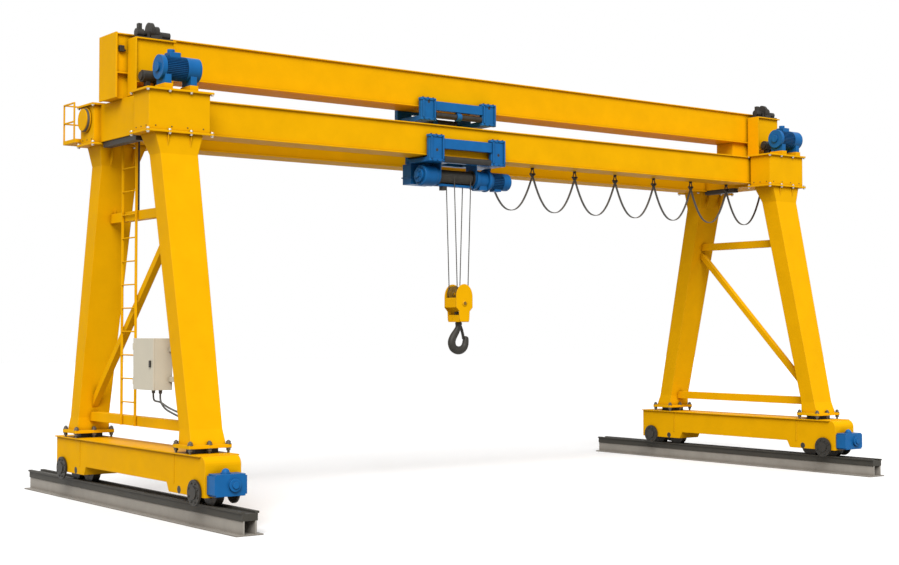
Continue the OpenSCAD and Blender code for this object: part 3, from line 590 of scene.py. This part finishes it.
def make_cap_bolts():
    """Dark bolts on top of both trolleys' posts."""
    size, inset, pitch = 0.013, 0.03, 0.09
    for body, x, y, face, _, high in TROLLEYS:
        bm = bmesh.new()
        for t, dx, s in product(SIDES, (-pitch, 0.0, pitch), SIDES):
            hex_bolt(bm, (x + t * POST_MID + dx, y + s * (face - inset), high), (0, 0, 1), size)
        piece(body + "_cap_bolts", bm, "dark", body=body)


def make_rope_guide():
    """A guide bar under the drum between the hangers, with a small dark limit switch on it."""
    half_y, bar_t, lug_t, gap = 0.045, 0.032, 0.016, 0.002
    front, back = TROLLEY_Y - half_y, TROLLEY_Y + half_y
    low, lug_top = DRUM_Z - 0.137, DRUM_Z - 0.09
    bm = bmesh.new()
    box(bm, (HANGER_LEFT + gap, front, low), (HANGER_RIGHT + gap + lug_t, back, low + bar_t))
    for x in (HANGER_LEFT + gap, HANGER_RIGHT + gap):
        box(bm, (x, front, low), (x + lug_t, back, lug_top))
    piece("rope_guide", bm, "blue", body="trolley")
    bm = bmesh.new()
    box(bm, (TROLLEY_X - 0.26, front, low - 0.055), (TROLLEY_X - 0.19, back, low + 0.001))
    piece("limit_switch", bm, "dark", body="trolley")


def cover(bm, x0, x1, drop, radius, bore):
    """A ring with rounded rims over a round housing, about the hoist's axis lowered by drop."""
    rim = 0.018
    left = [(radius - rim * (1 - math.sin(t)), x0 + rim * (1 - math.cos(t)))
            for t in frange(0.0, math.pi / 2, 6)]
    right = [(r, x0 + x1 - x) for r, x in reversed(left)]
    revolve(bm, (0.0, TROLLEY_Y, DRUM_Z - drop), X, [(bore, x0)] + left + right + [(bore, x1)], 64)


def make_hoist_covers():
    """Rounded covers over the hoist's gear train, its coupling flange and the motor's fan."""
    flange_x = HANGER_RIGHT + 0.235
    bm = bmesh.new()
    cover(bm, GEAR_COVER_X, GEAR_COVER_X + 0.22, 0.0, 0.147, 0.09)
    cover(bm, flange_x, flange_x + 0.05, GEAR_DROP, 0.166, 0.12)
    cover(bm, MOTOR_X + 0.228, MOTOR_X + 0.362, MOTOR_DROP, 0.126, 0.09)
    bmesh.ops.recalc_face_normals(bm, faces=bm.faces)
    piece("hoist_covers", bm, "blue", body="trolley")


# Cooling fins of the motors

def fins(bm, x0, x1, centre, inner, outer, count):
    """Lengthwise fins round a motor whose axis runs along X."""
    y, z = centre
    root, tip = 0.004, 0.0025
    for i in range(count):
        a = 2 * math.pi * i / count
        out, side = Vector((0, math.cos(a), math.sin(a))), Vector((0, -math.sin(a), math.cos(a)))
        section = [out * r + side * w
                   for r, w in ((inner, -root), (outer, -tip), (outer, tip), (inner, root))]
        loft(bm, [[bm.verts.new(Vector((x, y, z)) + p) for p in section] for x in (x0, x1)])


def make_fins():
    """Fins of both end drives' motors and of the hoist motor."""
    drive_axis = (middle("drive_motors", Y), HEAD_Z1 + 0.285)
    bm = bmesh.new()
    for x in (-HALF_SPAN, HALF_SPAN + 0.16):
        fins(bm, x - 0.125, x + 0.145, drive_axis, 0.128, 0.149, 40)
    piece("drive_motor_fins", bm, "blue", body="crane")
    bm = bmesh.new()
    fins(bm, MOTOR_X + 0.045, MOTOR_X + 0.225, (TROLLEY_Y, DRUM_Z - MOTOR_DROP), 0.103, 0.126, 32)
    piece("hoist_motor_fins", bm, "blue", body="trolley")


# Hook block: oval cheeks with a narrower foot, spacers between them, grooved sheaves, forged hook

BOSS_Z = BLOCK_Z - 0.13


def block_box(bm, x, y, z):
    """A block given by its ranges about the hook's centre line and, in height, in the crane's frame."""
    (x0, x1), (y0, y1), (z0, z1) = sorted(x), sorted(y), z
    box(bm, (HOOK_X + x0, TROLLEY_Y + y0, z0), (HOOK_X + x1, TROLLEY_Y + y1, z1))


def boss(bm, s, start, rise, radius):
    """A round disc on the outside of a cheek, from start to rise beyond it."""
    y = TROLLEY_Y + s * (CHEEK_Y + CHEEK_T + start)
    rod(bm, (HOOK_X, y, BOSS_Z), (HOOK_X, y + s * rise, BOSS_Z), radius, 28)


def cheek_outline():
    """Half an oval over a shouldered foot, points (x, z) about the sheaves' axis."""
    half_w, crown_h, crown_z = 0.146, 0.182, -0.04
    crown = [(half_w * math.sin(a), crown_z + crown_h * math.cos(a)) for a in frange(0.0, math.pi / 2, 14)]
    foot = [(half_w, -0.19), (0.094, -0.245), (0.088, -0.36), (0.080, -0.386), (0.062, -0.395)]
    half = crown[1:] + foot
    return crown[:1] + half + [(-x, z) for x, z in reversed(half)]


def make_block():
    """Cheeks, bosses, side spacers, the crosspiece round the hook's shank, and the sheaves' pin."""
    outline = cheek_outline()
    bm = bmesh.new()
    for s in SIDES:
        ys = sorted((TROLLEY_Y + s * CHEEK_Y, TROLLEY_Y + s * (CHEEK_Y + CHEEK_T)))
        loft(bm, [[bm.verts.new((HOOK_X + x, y, BLOCK_Z + z)) for x, z in outline] for y in ys])
    bmesh.ops.recalc_face_normals(bm, faces=bm.faces)
    rims = [e for e in bm.edges if e.calc_face_angle(0.0) > 1.0]
    bmesh.ops.bevel(bm, geom=rims, offset=0.004, segments=2, affect="EDGES")
    cross_half, cross_bore = 0.085, SHANK_R + 0.002
    for s in SIDES:
        boss(bm, s, -0.001, 0.008, 0.042)
        boss(bm, s, -0.001, 0.014, 0.028)
        block_box(bm, (s * 0.121, s * 0.144), (-CHEEK_Y, CHEEK_Y), (BLOCK_Z - 0.19, BLOCK_Z - 0.052))
        block_box(bm, (-cross_half, cross_half), (s * cross_bore, s * CHEEK_Y), (CROSS_Z0, CROSS_Z1))
        block_box(bm, (s * cross_bore, s * cross_half), (-cross_bore, cross_bore), (CROSS_Z0, CROSS_Z1))
    rod(bm, (HOOK_X, TROLLEY_Y - CHEEK_Y, BLOCK_Z), (HOOK_X, TROLLEY_Y + CHEEK_Y, BLOCK_Z), PIN_R, 32)
    block = piece("hook_block_cheeks", bm, "yellow", body="hook_block")
    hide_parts("hook_block")
    bm = bmesh.new()
    # The pins' faces in the yellow darkened to a painted shade
    for s in SIDES:
        boss(bm, s, 0.012, 0.003, 0.024)
    piece("cheek_pins", bm, "painted_shade_yellow", body="hook_block")


def make_sheaves():
    """Two sheaves with a rope groove, in the block's yellow paint darkened to a painted shade."""
    rim, root = SHEAVE_R + 0.019, SHEAVE_R - ROPE_R - 0.0006
    half = [(PIN_R + 0.0001, 0.024), (0.050, 0.024), (0.050, 0.010), (SHEAVE_R - 0.024, 0.010),
            (rim, 0.019), (rim, 0.013), (root, 0.009)]
    profile = half + [(r, -w) for r, w in reversed(half)]
    for name, s in (("sheave_front", -1), ("sheave_rear", 1)):
        bm = bmesh.new()
        revolve(bm, (HOOK_X, TROLLEY_Y + s * FALL_Y, BLOCK_Z), Y, profile, 72)
        bmesh.ops.recalc_face_normals(bm, faces=bm.faces)
        wheel = piece(name + "_grooved", bm, "painted_shade_yellow", body=name)
        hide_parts(name)


# The hook's centre line about its bowl, as (x, z, radius), from the shank to the tip
HOOK_LINE = [
    (0.0, 0.438, 0.0315), (0.0, 0.30, 0.0315), (0.0, 0.280, 0.048), (0.0, 0.240, 0.046),
    (-0.012, 0.198, 0.044), (-0.046, 0.145, 0.049), (-0.090, 0.084, 0.054), (-0.118, 0.025, 0.057),
    (-0.119, -0.025, 0.058), (-0.095, -0.076, 0.058), (-0.050, -0.105, 0.058), (0.0, -0.114, 0.058),
    (0.050, -0.105, 0.056), (0.093, -0.076, 0.053), (0.117, -0.035, 0.050), (0.126, 0.012, 0.047),
    (0.131, 0.050, 0.042), (0.138, 0.076, 0.032), (0.141, 0.085, 0.012),
]
LATCH_LINE = [(0.030, 0.236), (0.052, 0.190), (0.076, 0.110), (0.090, 0.045)]


def make_hook():
    """A forged hook that swells from neck to bowl and thins to the tip, its nut, and a latch."""
    neck_z, flatness, nut_r = 0.24, 0.88, 0.058
    angles = frange(0.0, 2 * math.pi, 33)[:-1]
    run = spline(HOOK_LINE, 8)
    rings = []
    for i, (x, z, r) in enumerate(run):
        ahead = (run[min(i + 1, len(run) - 1)] - run[max(i - 1, 0)]).xy.normalized()
        flat = 1.0 if z > neck_z else flatness
        rings.append([(HOOK_X + x + ahead.y * r * math.cos(a), TROLLEY_Y + flat * r * math.sin(a),
                       BOWL_Z + z - ahead.x * r * math.cos(a)) for a in angles])
    bm = bmesh.new()
    loft(bm, [[bm.verts.new(p) for p in ring] for ring in rings])
    upright(bm, HOOK_X, TROLLEY_Y, CROSS_Z1 + 0.0005, CROSS_Z1 + 0.044, nut_r, 24)
    latch = [(HOOK_X + x, TROLLEY_Y, BOWL_Z + z) for x, z in LATCH_LINE]
    sweep(bm, latch, flat_section(0.044, 0.020), (1, 0, 0.4))
    hook = piece("forged_hook", bm, "forged", body="hook", smooth=True)
    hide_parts("hook")


# Thin trims of the left portal and the carriages

def make_lock():
    """A dark lock on the cabinet's door."""
    door_t, proud, half_w = 0.022, 0.017, 0.017
    face, y = highest("cabinet_door", X) - door_t, CRANE_Y - 0.786
    bm = bmesh.new()
    box(bm, (face - proud, y - half_w, 1.815), (face + 0.001, y + half_w, 1.895))
    piece("door_lock", bm, "dark", body="cabinet_door")


def make_ladder():
    """Flat stiles and round rungs, from the lower tie to the head beam."""
    width, pitch, rung_r, stile_half, stile_thin = 0.40, 0.295, 0.009, 0.016, 0.007
    x, y0 = middle("ladder", X), middle("ladder", Y) - width / 2
    bm = bmesh.new()
    for y in (y0, y0 + width):
        box(bm, (x - stile_half, y - stile_thin, TIE_Z), (x + stile_half, y + stile_thin, HEAD_Z0 + 0.03))
    for i in range(1, int((HEAD_Z0 - TIE_Z - 0.06) / pitch) + 1):
        rod(bm, (x, y0, TIE_Z + i * pitch), (x, y0 + width, TIE_Z + i * pitch), rung_r, 12)
    ladder = piece("thin_ladder", bm, "yellow", body="crane")
    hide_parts("ladder")


# The hoses' routes, as (y from the crane's middle, z)
HOSE_ROUTES = (
    ((-0.56, 1.545), (-0.56, 1.45), (-0.60, 1.405), (-0.76, 1.39), (-1.0, 1.33), (-1.42, 1.26)),
    ((-0.75, 1.545), (-0.75, 1.43), (-0.80, 1.365), (-0.95, 1.30), (-1.42, 1.21)),
)


def make_hoses():
    """Two hoses with fittings, from the cabinet's floor round into the leg."""
    hose_r, fitting_r = 0.012, 0.022
    x, floor = middle("cabinet_hoses", X), lowest("cabinet", Z)
    bm = bmesh.new()
    for route in HOSE_ROUTES:
        path = [(x, CRANE_Y + y, z) for y, z in spline(route, 8)]
        sweep(bm, path, round_section(hose_r, 10), (1, 0, 0))
        upright(bm, x, path[0][Y], floor - 0.045, floor + 0.002, fitting_r, 6)
    hoses = piece("cabinet_flexible_hoses", bm, "rubber", body="crane", smooth=True)
    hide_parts("cabinet_hoses")


def make_risers():
    """A dark conduit and a thin yellow bar between the upper tie and the head beam of the left portal."""
    for name, finish, dy, radius in (("conduit", "dark", 0.135, 0.017), ("riser_bar", "yellow", 0.83, 0.010)):
        bm = bmesh.new()
        upright(bm, -HALF_SPAN, CRANE_Y + dy, UPPER_TIE_TOP - 0.002, HEAD_Z0 + 0.03, radius)
        piece(name, bm, finish, body="crane")


def make_seams():
    """Raised seams where the carriages' wheel boxes begin."""
    seam_y, half_w, sunk, proud, z0, z1 = 1.36, 0.012, 0.002, 0.005, 0.48, CAR_TOP - 0.03
    bm = bmesh.new()
    for sx, sy, out in product(SIDES, SIDES, SIDES):
        face, y = sx * HALF_SPAN + out * CAR_W / 2, CRANE_Y + sy * seam_y
        x0, x1 = sorted((face - out * sunk, face + out * proud))
        box(bm, (x0, y - half_w, z0), (x1, y + half_w, z1))
    piece("carriage_seams", bm, "yellow", body="crane")


# Floor, sky and sun

def background_rays(nodes, links):
    """One for the rays that see the background: from the camera, or by way of a reflection or glass."""
    rays = nodes.new("ShaderNodeLightPath")
    total = rays.outputs["Is Camera Ray"]
    for kind in ("Is Glossy Ray", "Is Transmission Ray"):
        both = nodes.new("ShaderNodeMath")
        both.operation, both.use_clamp = "ADD", True
        links.new(total, both.inputs[0])
        links.new(rays.outputs[kind], both.inputs[1])
        total = both.outputs["Value"]
    return total


def pick_shader(nodes, links, lighting, background, output):
    """Sends one shader to the rays that see the background, and the other to those that light the crane."""
    pick = nodes.new("ShaderNodeMixShader")
    links.new(background_rays(nodes, links), pick.inputs["Fac"])
    links.new(lighting, pick.inputs[1])
    links.new(background, pick.inputs[2])
    links.new(pick.outputs["Shader"], nodes[output].inputs["Surface"])


def make_floor():
    """A floor that looks white and keeps the shadow, and throws back a duller light."""
    bpy.ops.mesh.primitive_plane_add(size=160.0, location=(0, 0, 0))
    floor = bpy.context.object
    floor.name = "floor"
    mat, nodes, links, bsdf = new_material("pale_floor")
    bsdf.inputs["Base Color"].default_value = shade(WHITE, 0.95)
    bsdf.inputs["Roughness"].default_value = 1.0
    bsdf.inputs["Specular IOR Level"].default_value = 0.0
    bounce = nodes.new("ShaderNodeBsdfDiffuse")
    bounce.inputs["Color"].default_value = (0.32, 0.31, 0.29, 1)
    pick_shader(nodes, links, bounce.outputs["BSDF"], bsdf.outputs["BSDF"], "Material Output")
    floor.data.materials.append(mat)


def make_sky():
    """A soft white sky that looks pure white."""
    world = bpy.data.worlds.new("studio")
    world.use_nodes = True
    nodes, links = world.node_tree.nodes, world.node_tree.links
    dim, white = nodes["Background"], nodes.new("ShaderNodeBackground")
    for node, strength in ((dim, 0.6), (white, 1.0)):
        node.inputs["Color"].default_value = WHITE
        node.inputs["Strength"].default_value = strength
    pick_shader(nodes, links, dim.outputs["Background"], white.outputs["Background"], "World Output")
    bpy.context.scene.world = world


def make_sun():
    """One broad, soft sun from the camera's side."""
    sun = bpy.data.lights.new("key", "SUN")
    sun.energy, sun.angle = 3.45, math.radians(40)
    key = bpy.data.objects.new("key", sun)
    key.rotation_euler = (math.radians(50), 0.0, math.radians(-37))
    bpy.context.scene.collection.objects.link(key)


# Making: the camera and the cords first
make_camera()
dress_solids()
make_festoon()
make_carriers()
make_rope()
make_drum_turns()
make_head_bolts()
make_rivets()
make_foot_studs()
make_trolley_bolts()
make_hub_bolts()
make_post_ribs()
make_cap_bolts()
make_rope_guide()
make_hoist_covers()
make_fins()
make_block()
make_sheaves()
make_hook()
make_lock()
make_ladder()
make_hoses()
make_risers()
make_seams()
make_floor()
make_sky()
make_sun()
bpy.context.scene.view_settings.view_transform = "Standard"
